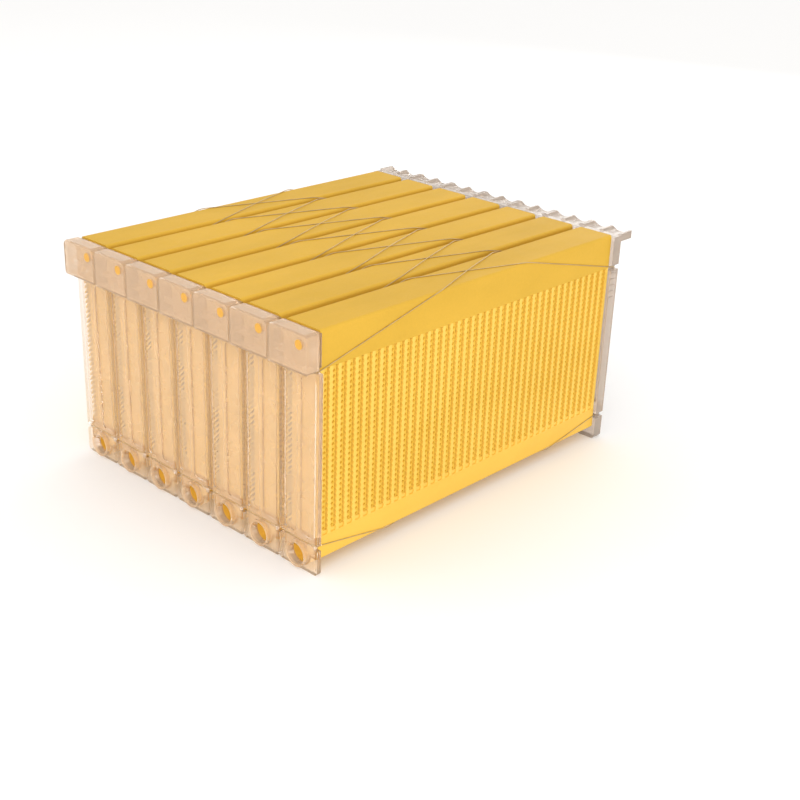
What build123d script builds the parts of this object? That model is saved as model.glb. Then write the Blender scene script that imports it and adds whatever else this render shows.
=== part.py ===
from build123d import *
import os

# A block of seven self-draining honey harvesting frames, standing side by side.
# Millimetres. X runs across the frames, Y along them and Z up. The origin is at
# the middle of the block's footprint, on the surface that the frames stand on.
# The key end, with the honey outlets, faces -Y. The hanger end faces +Y.

# ---- driving dimensions -------------------------------------------------------
frame_count = 7
comb_width = 43.5          # cover, fixed slats and trough, across X
bee_space = 8.5            # between the combs of two neighbouring frames
frame_gap = 0.5            # between the clear ends of two neighbouring frames
body_length = 448.0        # near face to far face
top_height = 242.0         # standing surface to the top of the covers

# clear plastic ends
key_plate = 5.0            # thickness of the plate that closes the key end
hanger_depth = 13.0        # depth of the hanger end along Y
ledge_reach = 19.0         # how far the hanging ledge stands out of the far face
ledge_bottom_drop = 8.5    # top of the ledge's ribs down to its underside
ledge_dip = 4.0            # depth of the two saddles in the ledge's top
rib_width = 2.5
foot_corner = 4.0          # rounded lower corners of both end plates
panel_depth = 2.0          # recessed panels in both end faces
panel_corner = 4.0
panel_left_margin = 6.5
panel_right_margin = 4.5
panel_rib = 5.0            # left standing between the two panels
panel_over_wire = 5.5      # lower wire up to the panels
panel_under_cover = 9.0    # covers' lower edge down to the panels
side_wall = 2.5
hanger_back_wall = 4.5
pocket_over_panel = 9.0
pocket_under_cover = 5.0
dash_count = 5             # vent slots in each side of the hanger end
dash_pitch = 7.0
dash_height = 2.0
dash_margin = 0.5          # hollow's depth less the slots' length
dash_under_cover = 4.0

# cover
cover_height = 37.0
cover_wall = 1.8
cover_roof = 2.0
cover_shoulder = 3.0

# honey outlet
outlet_radius = 11.5
outlet_wall = 1.8
outlet_reach = 4.0
outlet_foot = 2.2          # standing surface to the outlet's rim

# honey trough
trough_height = 23.5
trough_drop = 1.0          # outlet's axis down to the trough's underside
trough_wall = 2.0
trough_edge = 1.5
sump_depth = 12.0          # the round sump behind the outlet, along Y
sump_margin = 0.4          # its inside is this much wider than the outlet's radius

# comb slats
slat_thickness = 5.0
slat_gap = 0.3             # between a fixed slat and a moving one
moving_setback = 2.25      # moving slats' sides in from the comb's faces
slat_travel = 2.7          # half a cell, downwards, when the key is turned
travel_clearance = 0.5

# key passages, left of the middle of each frame
key_width = 12.0           # of the flat steel key that the frame takes
key_slot_clearance = 1.0
key_slot_lap = 0.3         # slot's side past the cover's inner face
slot_arch_drop = 3.0       # top of the frame down to the arch
slot_arch_depth = 7.2      # moving slats' heads down to the arch's sill
low_slot_rise = 2.6        # covers' lower edge up to the lower slot

# key cap
cap_depth = 15.0
cap_wall = 2.0
cap_clearance = 0.3
cap_front_gap = 2.5        # between the spigot and the inside of the cap's front
cap_top_corner = 6.0
cap_low_corner = 3.0
cap_front_edge = 2.0
peg_radius = 4.5
peg_length = 3.5
peg_side = 10.25           # cap's right side in to the peg's axis
peg_drop = 10.0            # top of the cap down to the peg's axis

# tension wires
wire_radius = 0.45
wire_clearance = 0.1
wire_over_outlet = 1.7     # outlet's rim up to the lower loop
wire_under_cover = 1.5     # covers' lower edge down to the upper loop
top_wire_edge_y = 65.0     # where it passes over the cover's long edges
low_wire_edge_y = 127.0
wire_bend = 2.0
wire_edge_bend = 30.0
hump_x = 4.0               # half of the upper strand's rise over the lower one
hump_bend = 60.0
groove_spare_depth = 0.5
groove_spare_height = 1.0
notch_rise = 4.6
ferrule_length = 8.0
ferrule_wall = 0.95
ferrule_clearance = 0.05

# ---- sizes that follow --------------------------------------------------------
frame_pitch = comb_width + bee_space
end_width = frame_pitch - frame_gap
overall_length = cap_depth + body_length + ledge_reach
near_face = cap_depth - overall_length / 2
far_face = near_face + body_length
middle_y = (near_face + far_face) / 2
comb_near = near_face + key_plate
comb_far = far_face - hanger_depth
comb_length = comb_far - comb_near

cover_bottom = top_height - cover_height
roof_underside = top_height - cover_roof
outlet_rim = outlet_radius + outlet_wall
outlet_z = outlet_foot + outlet_rim
trough_bottom = outlet_z - trough_drop
trough_top = trough_bottom + trough_height

slat_step = slat_thickness + slat_gap
slat_pitch = 2 * slat_step
slat_pairs = int((comb_length - slat_thickness) / slat_pitch)
slat_row = slat_pairs * slat_pitch + slat_thickness
slat_start = comb_near + (comb_length - slat_row) / 2
moving_width = comb_width - 2 * moving_setback
moving_top = roof_underside - (key_width - slat_travel)
moving_bottom = trough_top + slat_travel + travel_clearance
notch_bottom = cover_bottom - slat_travel - travel_clearance
notch_top = cover_bottom + key_width

key_slot_width = key_width + key_slot_clearance
key_slot_x = cover_wall - comb_width / 2 - key_slot_lap + key_slot_width / 2
slot_arch_bottom = moving_top - slot_arch_depth
slot_arch_top = top_height - slot_arch_drop
low_slot_bottom = cover_bottom + low_slot_rise
low_slot_top = notch_top
peg_x = end_width / 2 - peg_side

top_wire_z = cover_bottom - wire_under_cover
low_wire_z = outlet_z + outlet_rim + wire_over_outlet
wire_x = comb_width / 2 + wire_radius + wire_clearance
wire_top = top_height + wire_radius + wire_clearance
wire_under = trough_bottom - wire_radius - wire_clearance
wire_lap = 2 * wire_radius + wire_clearance
groove_depth = 2 * wire_radius + groove_spare_depth
groove_height = 2 * wire_radius + groove_spare_height
wire_inset = groove_depth / 2
notch_x = wire_x - wire_radius - 2 * wire_clearance - wire_bend / 4
ferrule_radius = wire_radius + ferrule_clearance + ferrule_wall

panel_bottom = low_wire_z + panel_over_wire
panel_top = cover_bottom - panel_under_cover
pocket_bottom = panel_bottom + pocket_over_panel
pocket_top = cover_bottom - pocket_under_cover
dash_length = hanger_depth - hanger_back_wall - dash_margin
dash_first = cover_bottom - dash_under_cover - dash_height - (dash_count - 1) * dash_pitch


def block(x_range, y_range, z_range):
    """A box between the given low and high X, Y and Z."""
    size = [high - low for low, high in (x_range, y_range, z_range)]
    middle = [(high + low) / 2 for low, high in (x_range, y_range, z_range)]
    return Pos(*middle) * Box(*size)


def upright_face(centre_x, centre_z, y):
    """The plane of an end face at y, seen from -Y, with its origin at the given point."""
    return Plane(origin=(centre_x, y, centre_z), x_dir=(1, 0, 0), z_dir=(0, -1, 0))


def cutter(profile, length):
    """A flat profile on an end face pushed through along +Y."""
    return extrude(profile, amount=-length)


def one_solid(shape):
    """The single solid that a boolean result holds."""
    return shape.solids()[0]


def top_cover():
    """Yellow moulded cover: a channel upside down, over the slats' heads."""
    half = comb_width / 2
    outer = Pos(0, top_height - cover_height / 2) * Rectangle(comb_width, cover_height)
    shoulders = outer.vertices().filter_by(lambda corner: corner.Y > cover_bottom + 1)
    outer = fillet(shoulders, cover_shoulder)
    inside_height = cover_height - cover_roof
    inside = Pos(0, cover_bottom + inside_height / 2) * Rectangle(2 * (half - cover_wall), inside_height)
    profile = upright_face(0, 0, comb_near) * (outer - inside)
    return one_solid(cutter(profile, comb_length))


def fixed_slats():
    """The comb slats that stay still, resting on the trough's walls."""
    slats = []
    for number in range(slat_pairs + 1):
        start = slat_start + number * slat_pitch
        slats.append(block((-comb_width / 2, comb_width / 2), (start, start + slat_thickness),
                           (trough_top, cover_bottom)))
    return Compound(children=slats)


def moving_slats():
    """The slats between them, which the key pushes down by half a cell.

    The upper key passage runs over their heads. The lower one runs through a
    notch in each head, where the key pushes them up again.
    """
    slats = []
    notch_right = key_slot_x + key_slot_width / 2
    for number in range(slat_pairs):
        start = slat_start + number * slat_pitch + slat_step
        span = (start, start + slat_thickness)
        slat = block((-moving_width / 2, moving_width / 2), span, (moving_bottom, moving_top))
        notch = block((-moving_width, notch_right), span, (notch_bottom, notch_top))
        slats.append(one_solid(slat - notch))
    return Compound(children=slats)


def honey_trough():
    """Yellow rail under the comb: a channel, open above, that ends at the outlet."""
    half = comb_width / 2
    rail = block((-half, half), (comb_near, comb_far), (trough_bottom, trough_top))
    low_edges = rail.edges().filter_by(Axis.Y).group_by(Axis.Z)[0]
    rail = fillet(low_edges, trough_edge)
    channel = block((-half + trough_wall, half - trough_wall),
                    (comb_near - 1, comb_far - trough_wall),
                    (trough_bottom + trough_wall, trough_top + 1))
    sump_face = upright_face(0, outlet_z, comb_near)
    sump_radius = outlet_radius + sump_margin
    sump = cutter(sump_face * Circle(sump_radius + trough_wall), sump_depth)
    hollow = cutter(sump_face * Circle(sump_radius), sump_depth - trough_wall)
    return one_solid(rail + sump - hollow - channel)


def end_plate(y_range, height):
    """A full-width plate standing on the ground, with its lower corners rounded."""
    outline = Pos(0, height / 2) * Rectangle(end_width, height)
    outline = fillet(outline.vertices().group_by(Axis.Y)[0], foot_corner)
    return cutter(upright_face(0, 0, y_range[0]) * outline, y_range[1] - y_range[0])


def panels(y, depth):
    """Cutters for the two recessed panels of an end face, going in from y along +Y."""
    height = panel_top - panel_bottom
    middle_z = (panel_top + panel_bottom) / 2
    left_span = (panel_left_margin - end_width / 2, -panel_rib / 2)
    right_span = (panel_rib / 2, end_width / 2 - panel_right_margin)
    cuts = []
    for low, high in (left_span, right_span):
        outline = RectangleRounded(high - low, height, panel_corner)
        cuts.append(cutter(upright_face((low + high) / 2, middle_z, y) * outline, depth))
    return cuts


def wire_path_cuts(low_y, high_y, face_y, inward):
    """Grooves across an end face and side notches that hold both wire loops."""
    cuts = []
    groove_bottom = sorted((face_y, face_y + inward * groove_depth))
    for wire_z, rise in ((top_wire_z, notch_rise), (low_wire_z, -notch_rise)):
        half_groove = groove_height / 2
        cuts.append(block((-end_width, end_width), groove_bottom,
                          (wire_z - half_groove, wire_z + half_groove)))
        heights = sorted((wire_z - half_groove * (1 if rise > 0 else -1), wire_z + rise))
        for side in (-1, 1):
            across = sorted((side * notch_x, side * end_width))
            cuts.append(block(across, (low_y, high_y), heights))
    return cuts


def key_end():
    """Clear plate at the key end, with the outlet, and the spigot that the cap fits."""
    half = end_width / 2
    plate = end_plate((near_face, comb_near), cover_bottom)
    inner_half = half - cap_wall - cap_clearance
    spigot_front = near_face - cap_depth + cap_wall + cap_front_gap
    spigot = block((-inner_half, inner_half), (spigot_front, comb_near),
                   (cover_bottom + cap_wall + cap_clearance, top_height - cap_wall - cap_clearance))
    neck = block((-comb_width / 2, comb_width / 2), (near_face, comb_near),
                 (cover_bottom - 1, cover_bottom + cap_wall + 1))
    outlet_face = upright_face(0, outlet_z, near_face - outlet_reach)
    ring = cutter(outlet_face * Circle(outlet_radius + outlet_wall), outlet_reach + 1)
    bore = cutter(outlet_face * Circle(outlet_radius), outlet_reach + key_plate + 1)
    shape = plate + spigot + neck + ring - bore
    for cut in panels(near_face, panel_depth):
        shape = shape - cut
    for cut in wire_path_cuts(near_face - 1, comb_near + 1, near_face, 1):
        shape = shape - cut
    slot_low = key_slot_x - key_slot_width / 2
    slot_high = key_slot_x + key_slot_width / 2
    passage = (spigot_front - 1, comb_near + 1)
    low_slot = block((slot_low, slot_high), passage, (low_slot_bottom, low_slot_top))
    arch_middle = slot_arch_top - key_slot_width / 2
    arch_face = upright_face(key_slot_x, arch_middle, passage[0])
    arch = cutter(arch_face * Circle(key_slot_width / 2), passage[1] - passage[0])
    arch_leg = block((slot_low, slot_high), passage, (slot_arch_bottom, arch_middle))
    return one_solid(shape - low_slot - arch - arch_leg)


def ledge_profile():
    """Section of the hanging ledge across X: flat below, two saddles between three ribs."""
    half = end_width / 2
    low = top_height - ledge_bottom_drop
    inner = half - rib_width
    dip_middle = (inner + rib_width / 2) / 2
    outline = Polyline((-rib_width / 2, top_height), (rib_width / 2, top_height))
    right_dip = ThreePointArc((rib_width / 2, top_height), (dip_middle, top_height - ledge_dip),
                              (inner, top_height))
    left_dip = ThreePointArc((-inner, top_height), (-dip_middle, top_height - ledge_dip),
                             (-rib_width / 2, top_height))
    rest = Polyline((inner, top_height), (half, top_height), (half, low), (-half, low),
                    (-half, top_height), (-inner, top_height))
    return make_face([outline, right_dip, rest, left_dip])


def hanger_end():
    """Clear block at the far end, with the ledge that hangs in the hive's rebate."""
    half = end_width / 2
    shape = end_plate((comb_far, far_face), top_height - ledge_dip / 2)
    ledge = cutter(upright_face(0, 0, far_face - 1) * ledge_profile(), ledge_reach + 1)
    shape = shape + ledge
    pocket_floor = far_face - hanger_back_wall
    shape = shape - block((-half + side_wall, half - side_wall), (comb_far - 1, pocket_floor),
                          (pocket_bottom, pocket_top))
    for cut in panels(far_face - panel_depth, panel_depth + 1):
        shape = shape - cut
    for cut in wire_path_cuts(comb_far - 1, far_face + 1, far_face, -1):
        shape = shape - cut
    ferrule_half = ferrule_length / 2 + wire_clearance * 4
    seat_radius = ferrule_radius + wire_clearance * 2
    for wire_z in (top_wire_z, low_wire_z):
        seat_y = (far_face - wire_inset - seat_radius, far_face + 1)
        seat_z = (wire_z - seat_radius, wire_z + seat_radius)
        shape = shape - block((-ferrule_half, ferrule_half), seat_y, seat_z)
    dash_near = comb_far + (hanger_depth - hanger_back_wall - dash_length) / 2
    for number in range(dash_count):
        low = dash_first + number * dash_pitch
        shape = shape - block((-half - 1, half + 1), (dash_near, dash_near + dash_length),
                              (low, low + dash_height))
    return one_solid(shape)


def key_cap():
    """Clear cap over the key slots, with the coloured peg in its face."""
    half = end_width / 2
    front = near_face - cap_depth
    outline = Pos(0, top_height - cover_height / 2) * Rectangle(end_width, cover_height)
    corners = outline.vertices().group_by(Axis.Y)
    outline = fillet(corners[-1], cap_top_corner)
    low_corners = outline.vertices().group_by(Axis.Y)[0]
    outline = fillet(low_corners, cap_low_corner)
    shell = cutter(upright_face(0, 0, front) * outline, cap_depth)
    front_edges = shell.faces().sort_by(Axis.Y)[0].edges()
    shell = fillet(front_edges, cap_front_edge)
    inside = block((-half + cap_wall, half - cap_wall), (front + cap_wall, near_face + 1),
                   (cover_bottom + cap_wall, top_height - cap_wall))
    peg_face = upright_face(peg_x, top_height - peg_drop, front)
    shell = shell - inside - cutter(peg_face * Circle(peg_radius), cap_wall + 1)
    peg = cutter(peg_face * Circle(peg_radius), peg_length)
    return Compound(children=[one_solid(shell), one_solid(peg)])


def wire_tube(points, radii):
    """A round wire along straight runs joined by tangent arcs."""
    path = FilletPolyline(*points, radius=radii)
    start = Plane(origin=path @ 0, z_dir=path % 0)
    return one_solid(sweep(start * Circle(wire_radius), path=path))


def wire_loop(end_z, edge_y, edge_z, lap):
    """One closed loop: round both ends and crossing itself over or under the comb.

    end_z is its height at the end plates, edge_y and edge_z where it passes the
    comb's long edges, and lap the second strand's offset at the crossing.
    """
    near = near_face + wire_inset
    far = far_face - wire_inset
    near_edge = middle_y - edge_y
    far_edge = middle_y + edge_y
    hump_y = edge_y * hump_x / wire_x
    meet = wire_clearance
    points = [
        (meet, far, end_z),
        (wire_x, far, end_z),
        (wire_x, far_edge, edge_z),
        (-wire_x, near_edge, edge_z),
        (-wire_x, near, end_z),
        (wire_x, near, end_z),
        (wire_x, near_edge, edge_z),
        (hump_x, middle_y - hump_y, edge_z + lap),
        (-hump_x, middle_y + hump_y, edge_z + lap),
        (-wire_x, far_edge, edge_z),
        (-wire_x, far, end_z),
        (-meet, far, end_z),
    ]
    radii = [wire_bend, wire_edge_bend, wire_edge_bend, wire_bend, wire_bend, wire_edge_bend,
             hump_bend, hump_bend, wire_edge_bend, wire_bend]
    return wire_tube(points, radii)


def ferrule(wire_z):
    """Crimped sleeve over the two ends of a wire loop, in the hanger end's back."""
    centre = Pos(0, far_face - wire_inset, wire_z) * Rot(0, 90, 0)
    sleeve = Cylinder(ferrule_radius, ferrule_length)
    hole = Cylinder(wire_radius + ferrule_clearance, ferrule_length + 1)
    return one_solid(centre * (sleeve - hole))


def tension_wires():
    """Both wire loops that clamp the slats between the ends, with their ferrules."""
    upper = wire_loop(top_wire_z, top_wire_edge_y, wire_top, wire_lap)
    lower = wire_loop(low_wire_z, low_wire_edge_y, wire_under, -wire_lap)
    return Compound(children=[upper, lower, ferrule(top_wire_z), ferrule(low_wire_z)])


def main():
    """Write each piece of each frame, frame 1 at -X and the last one at +X."""
    os.makedirs("parts", exist_ok=True)
    pieces = {
        "top_cover": top_cover(),
        "fixed_slats": fixed_slats(),
        "moving_slats": moving_slats(),
        "honey_trough": honey_trough(),
        "key_end": key_end(),
        "hanger_end": hanger_end(),
        "key_cap": key_cap(),
        "tension_wires": tension_wires(),
    }
    middle = (frame_count - 1) / 2
    for number in range(frame_count):
        place = Pos((number - middle) * frame_pitch, 0, 0)
        for name, shape in pieces.items():
            export_step(place * shape, f"parts/{name}_{number + 1}.step")
    print("wire bends, mm:", wire_bend, wire_edge_bend, hump_bend)


main()
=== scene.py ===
import logging
import math
from dataclasses import dataclass, replace
from enum import Enum
from typing import Optional, Union

import bpy
from mathutils import Matrix, Vector


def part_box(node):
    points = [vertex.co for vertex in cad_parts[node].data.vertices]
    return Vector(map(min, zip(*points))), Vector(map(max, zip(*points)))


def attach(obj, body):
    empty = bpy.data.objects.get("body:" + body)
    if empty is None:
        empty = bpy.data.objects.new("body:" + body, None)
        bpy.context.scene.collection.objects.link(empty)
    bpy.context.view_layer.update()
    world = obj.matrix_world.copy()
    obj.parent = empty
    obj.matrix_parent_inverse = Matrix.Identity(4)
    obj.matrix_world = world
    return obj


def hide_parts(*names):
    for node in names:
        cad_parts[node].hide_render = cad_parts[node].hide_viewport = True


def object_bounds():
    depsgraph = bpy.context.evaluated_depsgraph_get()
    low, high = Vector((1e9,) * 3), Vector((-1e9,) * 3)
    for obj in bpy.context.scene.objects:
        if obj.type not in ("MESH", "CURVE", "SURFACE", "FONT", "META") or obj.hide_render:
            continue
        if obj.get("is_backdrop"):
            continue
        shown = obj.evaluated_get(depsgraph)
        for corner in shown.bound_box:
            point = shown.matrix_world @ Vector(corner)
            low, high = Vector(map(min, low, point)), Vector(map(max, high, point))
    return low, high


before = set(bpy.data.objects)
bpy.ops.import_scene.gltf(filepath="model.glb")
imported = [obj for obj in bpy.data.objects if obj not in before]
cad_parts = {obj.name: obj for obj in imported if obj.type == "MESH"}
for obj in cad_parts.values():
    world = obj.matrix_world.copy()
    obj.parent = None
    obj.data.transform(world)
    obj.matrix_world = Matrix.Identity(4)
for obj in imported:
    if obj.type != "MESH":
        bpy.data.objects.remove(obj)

log = logging.getLogger("harvest_frames")
MM = 0.001

Colour = tuple[float, float, float]
Point = tuple[float, float, float]
Outline = list[tuple[float, float]]
Value = Union["Signal", float, Colour]


# ---- shader maths ---------------------------------------------------------------


class Signal:
    """One output socket of a material's node tree, used in ordinary arithmetic."""

    def __init__(self, desk: "ShaderDesk", socket: bpy.types.NodeSocket) -> None:
        """Wrap a socket.

        Args:
            desk: the material's node tree, in which new nodes are added.
            socket: the output socket.
        """
        self.desk = desk
        self.socket = socket

    def maths(self, operation: str, *values: Value) -> "Signal":
        """Add one Math node.

        Args:
            operation: the Math node's operation.
            values: its inputs, in order.

        Returns:
            The node's output.
        """
        return self.desk.node("ShaderNodeMath", {"operation": operation}, dict(enumerate(values)))

    def __add__(self, other: Value) -> "Signal":
        """This plus other."""
        return self.maths("ADD", self, other)

    def __radd__(self, other: Value) -> "Signal":
        """Other plus this."""
        return self.maths("ADD", other, self)

    def __sub__(self, other: Value) -> "Signal":
        """This minus other."""
        return self.maths("SUBTRACT", self, other)

    def __rsub__(self, other: Value) -> "Signal":
        """Other minus this."""
        return self.maths("SUBTRACT", other, self)

    def __mul__(self, other: Value) -> "Signal":
        """This times other."""
        return self.maths("MULTIPLY", self, other)

    def __rmul__(self, other: Value) -> "Signal":
        """Other times this."""
        return self.maths("MULTIPLY", other, self)

    def __truediv__(self, other: Value) -> "Signal":
        """This over other."""
        return self.maths("DIVIDE", self, other)

    def __rtruediv__(self, other: Value) -> "Signal":
        """Other over this."""
        return self.maths("DIVIDE", other, self)

    def __pow__(self, other: Value) -> "Signal":
        """This to the power of other."""
        return self.maths("POWER", self, other)

    def __rpow__(self, other: Value) -> "Signal":
        """Other to the power of this."""
        return self.maths("POWER", other, self)

    def __lt__(self, other: Value) -> "Signal":
        """1 where this is under other, and 0 elsewhere."""
        return self.maths("LESS_THAN", self, other)

    def __gt__(self, other: Value) -> "Signal":
        """1 where this is over other, and 0 elsewhere."""
        return self.maths("GREATER_THAN", self, other)

    def rounded(self) -> "Signal":
        """The nearest whole number."""
        return self.maths("ROUND", self)

    def wave(self) -> "Signal":
        """The sine of this."""
        return self.maths("SINE", self)

    def clipped(self, low: float, high: float) -> "Signal":
        """This spread from low to high onto 0 to 1, and held there."""
        settings = {"clamp": True}
        return self.desk.node("ShaderNodeMapRange", settings, {0: self, 1: low, 2: high})


class ShaderDesk:
    """Builds one material's node tree."""

    def __init__(self, name: str) -> None:
        """Start an empty material.

        Args:
            name: the material's name.
        """
        self.material = bpy.data.materials.new(name)
        self.material.use_nodes = True
        self.tree = self.material.node_tree
        self.tree.nodes.clear()

    def node(
        self,
        kind: str,
        settings: Optional[dict] = None,
        values: Optional[dict] = None,
        out: Union[int, str] = 0,
    ) -> Signal:
        """Add one node.

        Args:
            kind: the node's type.
            settings: its own settings, such as a Math node's operation, set first.
            values: what goes into its sockets, by socket name or number.
            out: the output that is wanted, by name or number.

        Returns:
            That output.
        """
        made = self.tree.nodes.new(kind)
        for key, setting in (settings or {}).items():
            setattr(made, key, setting)
        for key, value in (values or {}).items():
            self._feed(made.inputs[key], value)
        return Signal(self, made.outputs[out])

    def _feed(self, socket: bpy.types.NodeSocket, value: Value) -> None:
        """Link a signal to a socket, or set its value.

        Args:
            socket: the input socket.
            value: a signal, a number or a colour.
        """
        if isinstance(value, Signal):
            self.tree.links.new(value.socket, socket)
        elif isinstance(value, tuple) and socket.type == "RGBA":
            socket.default_value = (*value, 1.0)
        else:
            socket.default_value = value

    def place(self) -> Signal:
        """The point on the piece, in metres, which moves with the piece."""
        return self.node("ShaderNodeTexCoord", out="Object")

    def axes(self, point: Signal) -> tuple[Signal, ...]:
        """The X, Y and Z of a point."""
        split = self.node("ShaderNodeSeparateXYZ", values={0: point}).socket.node
        return tuple(Signal(self, socket) for socket in split.outputs)

    def stretched(self, point: Signal, scale: Point) -> Signal:
        """A point with each axis multiplied.

        Args:
            point: the point.
            scale: the three factors.

        Returns:
            The new point.
        """
        settings = {"operation": "MULTIPLY"}
        return self.node("ShaderNodeVectorMath", settings, {0: point, 1: scale})

    def noise(
        self, point: Signal, scale: float, detail: float = 2.0, rough: float = 0.5
    ) -> Signal:
        """Soft random values round 0.5.

        Args:
            point: where on the piece.
            scale: how many features there are in a metre.
            detail: how many finer layers it has.
            rough: how strong the finer layers are.

        Returns:
            The noise's value.
        """
        values = {"Vector": point, "Scale": scale, "Detail": detail, "Roughness": rough}
        return self.node("ShaderNodeTexNoise", {"noise_dimensions": "3D"}, values)

    def blend(self, factor: Value, first: Value, second: Value) -> Signal:
        """Mix two colours.

        Args:
            factor: 0 for the first and 1 for the second.
            first: a colour.
            second: a colour.

        Returns:
            The mixed colour.
        """
        settings = {"data_type": "RGBA", "clamp_factor": True}
        return self.node("ShaderNodeMix", settings, {0: factor, 6: first, 7: second}, out=2)

    def bump(self, height: Signal, strength: float, distance: float) -> Signal:
        """A normal from a height.

        Args:
            height: the height, from 0 to 1.
            strength: how much of the relief shows.
            distance: the relief's full height in metres.

        Returns:
            The normal.
        """
        values = {"Height": height, "Strength": strength, "Distance": distance}
        return self.node("ShaderNodeBump", None, values)

    def finish(self, shader: Signal) -> bpy.types.Material:
        """Send a shader to the material's output.

        Args:
            shader: the surface shader.

        Returns:
            The material.
        """
        output = self.tree.nodes.new("ShaderNodeOutputMaterial")
        self.tree.links.new(shader.socket, output.inputs["Surface"])
        return self.material


# ---- finishes -------------------------------------------------------------------


@dataclass(frozen=True)
class Zone:
    """A band in every frame, between two X counted from the frame's middle and two Y."""

    pitch: float
    across: tuple[float, float]
    along: tuple[float, float] = (-1.0, 1.0)

    def inside(self, desk: ShaderDesk, point: Signal) -> Signal:
        """Make the signal that is 1 in the band and 0 outside it.

        Args:
            desk: the material's nodes.
            point: the place on the piece.

        Returns:
            The signal.
        """
        across, along, _ = desk.axes(point)
        across = across - (across / self.pitch).rounded() * self.pitch
        share = (across > self.across[0]) * (across < self.across[1])
        return share * (along > self.along[0]) * (along < self.along[1])


@dataclass(frozen=True)
class MouldedYellow:
    """Food-safe yellow plastic, satin from the mould, with faint flow clouds and a fine grain; its
    faint glow is painted light that lifts its shaded parts, and a band of painted shade can be
    laid on it.
    """

    name: str
    light: Colour
    deep: Colour
    roughness: float
    painted_glow: float
    gloss: float = 0.3
    # A band of painted shade, and its dark colour.
    painted_shade_zone: Optional[Zone] = None
    painted_shade_colour: Colour = (1.0, 1.0, 1.0)
    ior: float = 1.47
    streak: Point = (1.0, 0.35, 1.0)
    cloud_scale: float = 14.0
    cloud_share: float = 0.75
    cloud_range: tuple[float, float] = (0.34, 0.68)
    speck_scale: float = 420.0
    speck_range: tuple[float, float] = (0.3, 0.75)
    handling_scale: float = 60.0
    handling_spread: float = 0.16
    grain_scale: float = 2600.0
    grain_depth: float = 0.04 * MM
    grain_strength: float = 0.35

    def material(self) -> bpy.types.Material:
        """Build the material.

        Returns:
            The material.
        """
        desk = ShaderDesk(self.name)
        point = desk.place()
        colour = self._colour(desk, point)
        grain = desk.noise(point, self.grain_scale, 1.0, 0.5)
        handling = desk.noise(point, self.handling_scale, 4.0, 0.6)
        steady = self.roughness - self.handling_spread / 2
        values = {
            "Base Color": colour,
            "Roughness": handling * self.handling_spread + steady,
            "IOR": self.ior,
            "Specular IOR Level": self.gloss,
            "Normal": desk.bump(grain, self.grain_strength, self.grain_depth),
            # The emission is painted light: the plastic's own colour glows a little to lift its
            # shaded parts.
            "Emission Color": colour,
            "Emission Strength": self.painted_glow,
        }
        return desk.finish(desk.node("ShaderNodeBsdfPrincipled", None, values))

    def _colour(self, desk: ShaderDesk, point: Signal) -> Signal:
        """Make the plastic's colour, from flow clouds and specks, with painted shade in the band
        where one is set.

        Args:
            desk: the material's nodes.
            point: the place on the piece.

        Returns:
            The colour.
        """
        drawn = desk.stretched(point, self.streak)
        clouds = desk.noise(drawn, self.cloud_scale, 3.0, 0.55).clipped(*self.cloud_range)
        specks = desk.noise(point, self.speck_scale, 2.0, 0.6).clipped(*self.speck_range)
        mottle = clouds * self.cloud_share + specks * (1.0 - self.cloud_share)
        colour = desk.blend(mottle, self.deep, self.light)
        if self.painted_shade_zone is None:
            return colour
        # Painted shade: the band gets the dark colour in place of the plastic's own.
        return desk.blend(self.painted_shade_zone.inside(desk, point), colour, self.painted_shade_colour)


@dataclass(frozen=True)
class Peg:
    """The coloured plastic peg in a cap's face, ringed like a turned end."""

    colour: Colour
    centre: tuple[float, float]
    radius: float
    pitch: float
    roughness: float = 0.34
    ring_spacing: float = 0.45
    ring_depth: float = 0.2 * MM
    ring_strength: float = 0.3
    speck_scale: float = 700.0
    deepest: float = 0.72
    margin: float = 1.01

    def mixed_into(self, desk: ShaderDesk, point: Signal, body: Signal) -> Signal:
        """Mix the peg's plastic into a cap's, round the peg's axis in each frame.

        Args:
            desk: the material's nodes.
            point: the place on the piece.
            body: the cap's own shader.

        Returns:
            The mixed shader.
        """
        across, _, up = desk.axes(point)
        local = across - (across / self.pitch).rounded() * self.pitch - self.centre[0]
        height = up - self.centre[1]
        radius = (local * local + height * height) ** 0.5
        turns = 2 * math.pi / (self.ring_spacing * self.radius)
        ring = (radius * turns).wave() * 0.5 + 0.5
        mottle = ring * 0.5 + desk.noise(point, self.speck_scale) * 0.5
        deep = tuple(part * self.deepest for part in self.colour)
        values = {
            "Base Color": desk.blend(mottle, deep, self.colour),
            "Roughness": self.roughness,
            "Normal": desk.bump(ring, self.ring_strength, self.ring_depth),
        }
        peg = desk.node("ShaderNodeBsdfPrincipled", None, values)
        inside = radius < self.radius * self.margin
        return desk.node("ShaderNodeMixShader", None, {0: inside, 1: body, 2: peg})


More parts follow.
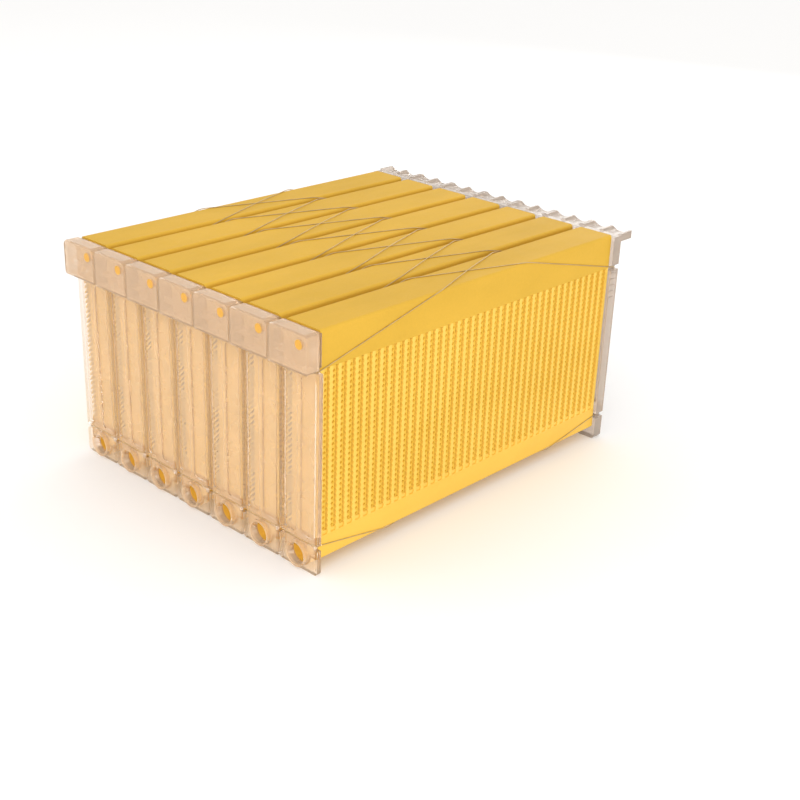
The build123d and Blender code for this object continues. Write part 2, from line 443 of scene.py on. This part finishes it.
@dataclass(frozen=True)
class ClearPlastic:
    """Clear moulded plastic with a light milky haze whose faint glow is painted light, and a
    coloured peg where one is set in.
    """

    name: str
    tint: Colour
    haze: Colour
    haze_share: float
    roughness: float
    ior: float = 1.3
    painted_glow: float = 0.1
    panel: Optional[Zone] = None
    panel_share: float = 0.0
    peg: Optional[Peg] = None
    ripple_scale: float = 38.0
    ripple_height: float = 0.8
    ripple_spread: float = 0.06
    grain_scale: float = 900.0
    grain_height: float = 0.05
    grain_spread: float = 0.05
    relief: float = 0.3 * MM
    relief_strength: float = 0.3
    cloud_scale: float = 22.0
    cloud_range: tuple[float, float] = (0.35, 0.65)
    palest: float = 1.06
    shadow_passed: float = 0.75

    def material(self) -> bpy.types.Material:
        """Build the material.

        Returns:
            The material.
        """
        desk = ShaderDesk(self.name)
        point = desk.place()
        ripple = desk.noise(point, self.ripple_scale, 2.0, 0.45)
        grain = desk.noise(point, self.grain_scale, 2.0, 0.5)
        relief = ripple * self.ripple_height + grain * self.grain_height
        shared = {
            "Roughness": grain * self.grain_spread + (self.roughness - self.grain_spread / 2),
            "IOR": self.ior,
            "Normal": desk.bump(relief, self.relief_strength, self.relief),
        }
        values = {"Base Color": self.tint, "Transmission Weight": 1.0, **shared}
        glassy = desk.node("ShaderNodeBsdfPrincipled", None, values)
        haze = self._haze_colour(desk, point)
        # The haze's emission is painted light: it glows a little in its own colour to brighten the
        # plastic.
        values = {"Base Color": haze, "Emission Color": haze, "Emission Strength": self.painted_glow}
        milky = desk.node("ShaderNodeBsdfPrincipled", None, {**values, **shared})
        share = ripple * self.ripple_spread + (self.haze_share - self.ripple_spread / 2)
        if self.panel is not None:
            share = share + self.panel.inside(desk, point) * self.panel_share
        body = desk.node("ShaderNodeMixShader", None, {0: share, 1: glassy, 2: milky})
        passing = desk.node("ShaderNodeBsdfTransparent", None, {0: self.tint})
        shadow = desk.node("ShaderNodeLightPath", out="Is Shadow Ray") * self.shadow_passed
        lit = desk.node("ShaderNodeMixShader", None, {0: shadow, 1: body, 2: passing})
        return desk.finish(self.peg.mixed_into(desk, point, lit) if self.peg else lit)

    def _haze_colour(self, desk: ShaderDesk, point: Signal) -> Signal:
        """Make the haze's colour, a little uneven.

        Args:
            desk: the material's nodes.
            point: the place on the piece.

        Returns:
            The colour.
        """
        cloud = desk.noise(point, self.cloud_scale, 3.0, 0.5).clipped(*self.cloud_range)
        pale = tuple(min(1.0, part * self.palest) for part in self.haze)
        return desk.blend(cloud, self.haze, pale)


@dataclass(frozen=True)
class DrawnSteel:
    """Thin hard-drawn steel wire, grey-brown, with fine lines along it."""

    name: str = "drawn_steel"
    bright: Colour = (0.72, 0.54, 0.28)
    dull: Colour = (0.44, 0.31, 0.14)
    roughness: float = 0.26
    line_stretch: Point = (6.0, 0.5, 6.0)
    line_scale: float = 900.0
    line_spread: float = 0.2
    line_depth: float = 0.02 * MM
    line_strength: float = 0.25
    stain_scale: float = 70.0
    stain_range: tuple[float, float] = (0.35, 0.7)
    stain_share: float = 0.6

    def material(self) -> bpy.types.Material:
        """Build the material.

        Returns:
            The material.
        """
        desk = ShaderDesk(self.name)
        point = desk.place()
        drawn = desk.stretched(point, self.line_stretch)
        lines = desk.noise(drawn, self.line_scale, 3.0, 0.6)
        stain = desk.noise(point, self.stain_scale, 3.0, 0.6).clipped(*self.stain_range)
        mottle = stain * self.stain_share + lines * (1.0 - self.stain_share)
        values = {
            "Base Color": desk.blend(mottle, self.dull, self.bright),
            "Metallic": 1.0,
            "Roughness": lines * self.line_spread + self.roughness,
            "Normal": desk.bump(lines, self.line_strength, self.line_depth),
        }
        return desk.finish(desk.node("ShaderNodeBsdfPrincipled", None, values))


@dataclass(frozen=True)
class StudioFloor:
    """Matt pale studio floor with a barely uneven tone."""

    name: str = "studio_floor"
    colour: Colour = (0.97, 0.97, 0.97)
    darkest: float = 0.985
    tone_scale: float = 0.8
    roughness: float = 0.9
    roughness_spread: float = 0.05

    def material(self) -> bpy.types.Material:
        """Build the material.

        Returns:
            The material.
        """
        desk = ShaderDesk(self.name)
        tone = desk.noise(desk.place(), self.tone_scale, 2.0, 0.5)
        darker = tuple(part * self.darkest for part in self.colour)
        values = {
            "Base Color": desk.blend(tone, darker, self.colour),
            "Roughness": tone * self.roughness_spread + self.roughness,
        }
        return desk.finish(desk.node("ShaderNodeBsdfPrincipled", None, values))


Finish = Union[MouldedYellow, ClearPlastic, DrawnSteel]

# The glow in each of these plastics is painted light that lifts their shaded parts; it is no lamp.
COMB_PLASTIC = MouldedYellow(
    "comb_plastic",
    light=(0.82, 0.54, 0.10),
    deep=(0.75, 0.47, 0.068),
    roughness=0.48,
    painted_glow=0.1,
    # Painted shade for the floor between the rack's cell walls.
    painted_shade_colour=(0.14, 0.065, 0.02),
)
# A darker copy of the comb plastic for the moving slats: painted shade for their columns of cells.
SHADED_COMB_PLASTIC = MouldedYellow(
    "comb_plastic_painted_shade",
    light=(0.76, 0.50, 0.07),
    deep=(0.69, 0.44, 0.05),
    roughness=0.5,
    painted_glow=0.12,
)
COVER_PLASTIC = MouldedYellow(
    "cover_plastic",
    light=(0.67, 0.40, 0.05),
    deep=(0.57, 0.34, 0.04),
    roughness=0.5,
    painted_glow=0.1,
    gloss=0.08,
)
TROUGH_PLASTIC = MouldedYellow(
    "trough_plastic",
    light=(0.79, 0.49, 0.07),
    deep=(0.73, 0.43, 0.055),
    roughness=0.44,
    painted_glow=0.11,
)
HANGER_END_PLASTIC = ClearPlastic(
    "hanger_end_plastic",
    tint=(0.89, 0.84, 0.80),
    haze=(0.56, 0.47, 0.39),
    haze_share=0.42,
    roughness=0.1,
)


# ---- meshes ---------------------------------------------------------------------


class MeshBench:
    """Collects corners and faces, and turns them into one mesh."""

    def __init__(self) -> None:
        """Start with nothing."""
        self.corners: list[Point] = []
        self.faces: list[tuple[int, ...]] = []

    def row(self, points: list[Point]) -> list[int]:
        """Add a row of corners.

        Args:
            points: their places.

        Returns:
            Their numbers.
        """
        first = len(self.corners)
        self.corners.extend(points)
        return list(range(first, first + len(points)))

    def face(self, *numbers: int) -> None:
        """Add one face."""
        self.faces.append(tuple(numbers))

    def skin(self, first: list[int], second: list[int], closed: bool = False) -> None:
        """Join two rows of corners with a strip of faces.

        Args:
            first: one row.
            second: the other, with as many corners.
            closed: whether the strip runs round.
        """
        count = len(first)
        for here in range(count if closed else count - 1):
            then = (here + 1) % count
            self.face(first[here], first[then], second[then], second[here])

    def prism(self, outline: Outline, near: float, far: float) -> None:
        """Add a solid with one outline in X and Z from near to far along Y.

        Args:
            outline: its corners, anticlockwise seen from -Y.
            near: its low Y.
            far: its high Y.
        """
        front = self.row([(x, near, z) for x, z in outline])
        back = self.row([(x, far, z) for x, z in outline])
        self.face(*front)
        self.face(*reversed(back))
        self.skin(back, front, closed=True)

    def mesh(self, name: str) -> bpy.types.Mesh:
        """Make the mesh.

        Args:
            name: its name.

        Returns:
            The mesh.
        """
        made = bpy.data.meshes.new(name)
        made.from_pydata(self.corners, [], self.faces)
        made.validate()
        made.update()
        return made


# ---- sub-assemblies -------------------------------------------------------------


class Scallops(Enum):
    """Which sides of a fixed slat carry the scallops of half-cells."""

    NEAR = "near"
    FAR = "far"
    BOTH = "both"


@dataclass
class CombSlats:
    """The split comb of every frame: scalloped fixed slats, and moving slats with cells."""

    frame_count: int
    pitch: float
    slat_pitch: float = 10.6 * MM
    thickness: float = 5.0 * MM
    cell: float = 5.45 * MM
    scallop: float = 0.95 * MM
    cell_reach: float = 3.6 * MM
    cell_depth: float = 5.5 * MM
    rack_width: float = 8.0 * MM
    rack_depth: float = 3.2 * MM
    rack_slope: float = 1.05
    rack_wall: float = 0.4
    rack_overlap: float = 0.2 * MM
    # Where the painted shade lies on the floor of the rack.
    well_near: float = 0.12
    well_side: float = 0.4 * MM
    well_overlap: float = 0.1 * MM
    lip_gap: float = 0.15 * MM
    lip_height: float = 3.8 * MM
    lip_thickness: float = 0.8 * MM
    notch_below: float = 3.2 * MM
    notch_above: float = 12.0 * MM
    notch_side: float = -7.25 * MM

    def build(self) -> None:
        """Make both slat meshes once and stand a copy in each frame."""
        middle = (self.frame_count + 1) // 2
        fixed = self._fixed_mesh(*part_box(f"fixed_slats_{middle}"))
        moving = self._moving_mesh(*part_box(f"moving_slats_{middle}"))
        self.pieces: list[bpy.types.Object] = []
        for number in range(1, self.frame_count + 1):
            across = (number - middle) * self.pitch
            row = bpy.data.objects.new(f"comb_fixed_{number}", fixed)
            self._stand(row, across, f"frame_{number}", f"fixed_slats_{number}")
            row = bpy.data.objects.new(f"comb_moving_{number}", moving)
            self._stand(row, across, f"slats_{number}", f"moving_slats_{number}")
        faces = len(fixed.polygons), len(moving.polygons)
        log.info("comb slats: %d faces in a fixed row, %d in a moving one", *faces)

    def dress(self, fixed: MouldedYellow, moving: MouldedYellow) -> None:
        """Give both meshes their plastic.

        Args:
            fixed: the fixed slats' plastic.
            moving: the moving slats' plastic.
        """
        bpy.data.meshes["comb_fixed"].materials.append(fixed.material())
        bpy.data.meshes["comb_moving"].materials.append(moving.material())

    def _stand(self, piece: bpy.types.Object, across: float, body: str, node: str) -> None:
        """Place one row of slats in a frame, in the stead of its plain node.

        Args:
            piece: the row.
            across: the frame's middle X.
            body: the body that it rides on.
            node: the plain node that it replaces.
        """
        bpy.context.scene.collection.objects.link(piece)
        piece.location = (across, 0.0, 0.0)
        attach(piece, body)
        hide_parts(node)
        self.pieces.append(piece)

    def _starts(self, low: float, high: float) -> list[float]:
        """Where each slat of a row starts along Y."""
        count = round((high - low - self.thickness) / self.slat_pitch) + 1
        return [low + number * self.slat_pitch for number in range(count)]

    def _fixed_mesh(self, low: Vector, high: Vector) -> bpy.types.Mesh:
        """Make all fixed slats of one frame, about X = 0.

        Args:
            low: the row's lowest corner.
            high: its highest corner.

        Returns:
            The mesh.
        """
        bench = MeshBench()
        half = (high.x - low.x) / 2
        starts = self._starts(low.y, high.y)
        for number, start in enumerate(starts):
            if number == 0:
                self._end_slat(bench, half, start, low.z, high.z)
            else:
                last = number == len(starts) - 1
                scallops = Scallops.NEAR if last else Scallops.BOTH
                self._bar(bench, [(-half, 0.0), (half, 0.0)], start, (low.z, high.z), scallops)
        moving_low, moving_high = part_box("moving_slats_1")
        inner = (moving_high.x - moving_low.x) / 2 + self.lip_gap
        top = low.z + self.lip_height
        for side in (-1, 1):
            left, right = sorted((side * inner, side * (inner + self.lip_thickness)))
            lip = [(left, low.z), (right, low.z), (right, top), (left, top)]
            bench.prism(lip, low.y + self.thickness / 2, high.y - self.thickness / 2)
        return bench.mesh("comb_fixed")

    def _bar(
        self,
        bench: MeshBench,
        rings: list[tuple[float, float]],
        start: float,
        heights: tuple[float, float],
        scallops: Scallops,
    ) -> None:
        """Add one upright bar whose near and far sides may be scalloped.

        Args:
            bench: where it goes.
            rings: pairs of X and how far the near side is set back there, along the bar.
            start: its low Y.
            heights: its low and high Z.
            scallops: which of its sides are scalloped.
        """
        low, high = heights
        steps = max(2, round((high - low) / (self.cell / 2)))
        levels = [low + (high - low) * step / steps for step in range(steps + 1)]
        near_rows, far_rows = [], []
        for across, setback in rings:
            near, far = [], []
            for step, level in enumerate(levels):
                notch = self.scallop if step % 2 else 0.0
                near_notch = 0.0 if scallops is Scallops.FAR else notch
                far_notch = 0.0 if scallops is Scallops.NEAR else notch
                near.append((across, start + setback + near_notch, level))
                far.append((across, start + self.thickness - far_notch, level))
            near_rows.append(bench.row(near))
            far_rows.append(bench.row(far))
        for here in range(len(rings) - 1):
            bench.skin(near_rows[here + 1], near_rows[here])
            bench.skin(far_rows[here], far_rows[here + 1])
            for end, order in ((0, 1), (-1, -1)):
                near_pair = near_rows[here][end], near_rows[here + 1][end]
                far_pair = far_rows[here + 1][end], far_rows[here][end]
                bench.face(*(near_pair + far_pair)[::-order])
        bench.skin(near_rows[0], far_rows[0])
        bench.skin(far_rows[-1], near_rows[-1])

    def _end_slat(
        self, bench: MeshBench, half: float, start: float, low: float, high: float
    ) -> None:
        """Add the slat behind the clear end, with a rack of slanting cell walls down its -X side.

        Args:
            bench: where it goes.
            half: half of its width along X.
            start: its low Y.
            low: its foot's Z.
            high: its head's Z.
        """
        inner = self.rack_width - half
        rings = [(-half, self.rack_depth), (inner, self.rack_depth), (inner, 0.0), (half, 0.0)]
        self._bar(bench, rings, start, (low, high), Scallops.FAR)
        rise = self.rack_slope * self.rack_width
        thick = self.rack_wall * self.cell
        left, right = -half, inner + self.rack_overlap
        for number in range(-2, int((high - low) / self.cell) + 1):
            foot = low + number * self.cell
            head = foot + rise
            tooth = [(left, foot), (right, head), (right, head + thick), (left, foot + thick)]
            outline = self._held(tooth, low, high)
            if outline:
                bench.prism(outline, start, start + self.rack_depth + self.rack_overlap)

    def painted_rack_shade(self) -> Zone:
        """Find the floor between the rack's cell walls, where painted shade darkens the comb's
        colour.

        Returns:
            Its place in every frame.
        """
        low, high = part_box("fixed_slats_1")
        half = (high.x - low.x) / 2
        near = low.y + self.well_near * self.rack_depth
        far = low.y + self.rack_depth + self.well_overlap
        across = (self.well_side - half, self.rack_width - half)
        return Zone(self.pitch, across=across, along=(near, far))

    def _held(self, tooth: Outline, low: float, high: float) -> Outline:
        """Cut a tooth's outline off at the slat's foot and head.

        Args:
            tooth: its four corners, anticlockwise.
            low: the foot's Z.
            high: the head's Z.

        Returns:
            What is left of it, which may be nothing.
        """
        for limit, side in ((low, 1.0), (high, -1.0)):
            kept: Outline = []
            for here, (x, z) in enumerate(tooth):
                then_x, then_z = tooth[(here + 1) % len(tooth)]
                inside = (z - limit) * side >= 0
                inside_then = (then_z - limit) * side >= 0
                if inside:
                    kept.append((x, z))
                if inside != inside_then:
                    share = (limit - z) / (then_z - z)
                    kept.append((x + (then_x - x) * share, limit))
            tooth = kept
            if len(tooth) < 3:
                return []
        return tooth

    def _moving_mesh(self, low: Vector, high: Vector) -> bpy.types.Mesh:
        """Make all moving slats of one frame, about X = 0, with a column of cells on both sides.

        Args:
            low: the row's lowest corner.
            high: its highest corner.

        Returns:
            The mesh.
        """
        bench = MeshBench()
        half = (high.x - low.x) / 2
        cover_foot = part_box("top_cover_1")[0].z
        foot, head = cover_foot - self.notch_below, cover_foot + self.notch_above
        side = self.notch_side
        neck = [(side, foot), (half, foot), (half, head), (side, head)]
        arm = [(-half, head), (half, head), (half, high.z), (-half, high.z)]
        for start in self._starts(low.y, high.y):
            end = start + self.thickness
            self._cell_column(bench, half, (start, end), (low.z, foot))
            bench.prism(neck, start, end)
            bench.prism(arm, start, end)
        return bench.mesh("comb_moving")

    def _cell_column(
        self,
        bench: MeshBench,
        half: float,
        span: tuple[float, float],
        heights: tuple[float, float],
    ) -> None:
        """Add one moving slat's body, with six-sided cells sunk into both of its outer sides.

        Args:
            bench: where it goes.
            half: half of its width along X.
            span: its low and high Y.
            heights: its low and high Z.
        """
        near, far = span
        low, high = heights
        count = max(1, round((high - low) / self.cell))
        step = (high - low) / count
        middle = (near + far) / 2
        reach = self.cell_reach / 2
        levels = [low + number * step for number in range(count + 1)]
        corners = {
            (side, y): bench.row([(side * half, y, level) for level in levels])
            for side in (-1, 1)
            for y in span
        }
        for side in (-1, 1):
            for number in range(count):
                centre = levels[number] + step / 2
                rim = [
                    (middle + reach * math.sin(turn), centre + reach * math.cos(turn))
                    for turn in (math.radians(60 * corner) for corner in range(6))
                ]
                mouth = bench.row([(side * half, y, z) for y, z in rim])
                floor = bench.row([(side * (half - self.cell_depth), middle, centre)])[0]
                near_foot, near_head = corners[side, near][number], corners[side, near][number + 1]
                far_foot, far_head = corners[side, far][number], corners[side, far][number + 1]
                top, right_up, right_low, bottom, left_low, left_up = mouth
                ring = [
                    (near_head, top, far_head),
                    (far_head, top, right_up),
                    (far_head, right_up, right_low, far_foot),
                    (far_foot, right_low, bottom),
                    (far_foot, bottom, near_foot),
                    (near_foot, bottom, left_low),
                    (near_foot, left_low, left_up, near_head),
                    (near_head, left_up, top),
                ]
                walls = [(mouth[here], floor, mouth[(here + 1) % 6]) for here in range(6)]
                for face in ring + walls:
                    bench.face(*(face if side > 0 else reversed(face)))
        bench.skin(corners[-1, near], corners[1, near])
        bench.skin(corners[1, far], corners[-1, far])
        for end, order in ((0, 1), (-1, -1)):
            places = ((-1, near), (-1, far), (1, far), (1, near))
            bench.face(*[corners[place][end] for place in places][::order])


@dataclass
class MouldedParts:
    """The pieces that keep the frame's own shapes: covers, troughs, ends, caps and wires."""

    frame_count: int
    pitch: float
    panel_left: float = 6.5 * MM
    panel_right: float = 4.5 * MM
    peg_across: float = 15.5 * MM
    peg_drop: float = 10.0 * MM
    peg_radius: float = 4.5 * MM

    def build(self) -> None:
        """Dress every kind of piece in its finish."""
        self._dress("top_cover", COVER_PLASTIC)
        self._dress("honey_trough", TROUGH_PLASTIC)
        self._dress("key_end", self._key_end_plastic())
        self._dress("hanger_end", HANGER_END_PLASTIC)
        self._dress("key_cap", self._cap_plastic())
        self._dress("tension_wires", DrawnSteel())

    def _dress(self, node: str, plastic: Finish) -> None:
        """Give one kind of piece its finish in every frame.

        Args:
            node: the piece's name without its frame's number.
            plastic: its finish.
        """
        finish = plastic.material()
        for number in range(1, self.frame_count + 1):
            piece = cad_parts[f"{node}_{number}"]
            for slot in piece.material_slots:
                slot.link = "OBJECT"
                slot.material = finish
        log.info("%s: dressed in %s", node, finish.name)

    def _key_end_plastic(self) -> ClearPlastic:
        """Make the key ends' plastic, hazier in the panel between the two margins.

        Returns:
            The finish.
        """
        left, right = self.panel_left - self.pitch / 2, self.pitch / 2 - self.panel_right
        return ClearPlastic(
            "key_end_plastic",
            tint=(1.0, 0.985, 0.965),
            haze=(0.79, 0.58, 0.38),
            haze_share=0.16,
            roughness=0.04,
            ior=1.2,
            # The glow is painted light in the haze.
            painted_glow=0.12,
            panel=Zone(self.pitch, across=(left, right)),
            panel_share=0.2,
        )

    def _cap_plastic(self) -> ClearPlastic:
        """Make the key caps' plastic, with the peg in each.

        Returns:
            The finish.
        """
        low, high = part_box(f"key_cap_{self.frame_count}")
        middle = (low.x + high.x) / 2 - (self.frame_count - 1) // 2 * self.pitch
        peg = Peg(
            colour=(0.85, 0.42, 0.035),
            centre=(middle + self.peg_across, high.z - self.peg_drop),
            radius=self.peg_radius,
            pitch=self.pitch,
        )
        return ClearPlastic(
            "cap_plastic",
            tint=(0.99, 0.95, 0.90),
            haze=(0.76, 0.55, 0.36),
            haze_share=0.3,
            roughness=0.08,
            peg=peg,
        )


@dataclass(frozen=True)
class SoftLamp:
    """One square soft light aimed at the object's middle."""

    name: str
    place: Point
    size: float
    watts: float
    aim: Point = (0.0, 0.0, 0.12)

    def build(self) -> None:
        """Make the light and turn it to the object."""
        light = bpy.data.lights.new(self.name, "AREA")
        light.shape = "SQUARE"
        light.size = self.size
        light.energy = self.watts
        lamp = bpy.data.objects.new(self.name, light)
        lamp.location = self.place
        way = Vector(self.aim) - Vector(self.place)
        lamp.rotation_euler = way.to_track_quat("-Z", "Y").to_euler()
        bpy.context.scene.collection.objects.link(lamp)


LAMPS = (
    SoftLamp("key_light", place=(1.5, -1.7, 1.0), size=1.6, watts=16.0),
    SoftLamp("fill_light", place=(-1.6, -1.5, 1.4), size=1.8, watts=6.0),
    SoftLamp("side_light", place=(2.4, 0.4, 0.8), size=1.4, watts=6.0),
    SoftLamp("back_light", place=(-0.7, 2.3, 1.1), size=1.4, watts=7.0),
)


@dataclass
class Studio:
    """Pale floor, soft lights and the camera."""

    camera_place: Point = (0.930, -0.937, 0.643)
    azimuth: float = -42.55
    elevation: float = -24.09
    roll: float = 2.26
    lens: float = 58.5
    sensor_width: float = 36.0
    floor_radius: float = 12.0
    floor_sides: int = 96
    sky: Colour = (1.0, 0.99, 0.975)
    sky_strength: float = 1.0

    def build(self) -> None:
        """Make the floor, the lights and the camera."""
        self._floor()
        self._sky()
        for lamp in LAMPS:
            lamp.build()
        self._camera()
        log.info("studio: floor, %d soft lights and the camera", len(LAMPS))

    def _floor(self) -> None:
        """Lay a wide round floor under the object."""
        bench = MeshBench()
        radius, sides = self.floor_radius, self.floor_sides
        turns = [2 * math.pi * side / sides for side in range(sides)]
        rim = [(radius * math.cos(turn), radius * math.sin(turn), 0.0) for turn in turns]
        bench.face(*bench.row(rim))
        floor = bpy.data.objects.new("floor", bench.mesh("floor"))
        floor.location.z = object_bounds()[0][2]
        bpy.context.scene.collection.objects.link(floor)
        floor.data.materials.append(StudioFloor().material())
        floor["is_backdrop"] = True

    def _sky(self) -> None:
        """Set an even pale surround."""
        world = bpy.data.worlds.new("studio")
        world.use_nodes = True
        sky = world.node_tree.nodes["Background"]
        sky.inputs["Color"].default_value = (*self.sky, 1.0)
        sky.inputs["Strength"].default_value = self.sky_strength
        bpy.context.scene.world = world
        bpy.context.scene.view_settings.view_transform = "Standard"

    def _camera(self) -> None:
        """Stand the camera at the near right corner, a little above."""
        angles = (self.azimuth, self.elevation, self.roll)
        turn, lift, roll = (math.radians(angle) for angle in angles)
        flat = math.cos(lift)
        ahead = Vector((math.sin(turn) * flat, math.cos(turn) * flat, math.sin(lift)))
        right = ahead.cross(Vector((0.0, 0.0, 1.0))).normalized()
        above = right.cross(ahead)
        level = right * math.cos(roll) + above * math.sin(roll)
        upright = above * math.cos(roll) - right * math.sin(roll)
        data = bpy.data.cameras.new("camera")
        data.lens = self.lens
        data.sensor_width = self.sensor_width
        camera = bpy.data.objects.new("camera", data)
        facing = Matrix((level, upright, -ahead)).transposed().to_4x4()
        camera.matrix_world = Matrix.Translation(self.camera_place) @ facing
        bpy.context.scene.collection.objects.link(camera)
        bpy.context.scene.camera = camera


# ---- the block ------------------------------------------------------------------


def main() -> None:
    """Build the studio, the comb and the finishes."""
    logging.basicConfig(level=logging.INFO, format="%(message)s")
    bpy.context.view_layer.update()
    covers = [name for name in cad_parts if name.startswith("top_cover_")]
    frame_count = len(covers)
    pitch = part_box("top_cover_2")[0].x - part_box("top_cover_1")[0].x
    Studio().build()
    comb = CombSlats(frame_count, pitch)
    comb.build()
    # The rack floor gets painted shade, and the moving slats a darker copy of the plastic as
    # painted shade.
    comb.dress(replace(COMB_PLASTIC, painted_shade_zone=comb.painted_rack_shade()), SHADED_COMB_PLASTIC)
    MouldedParts(frame_count, pitch).build()


if __name__ == "__main__":
    main()
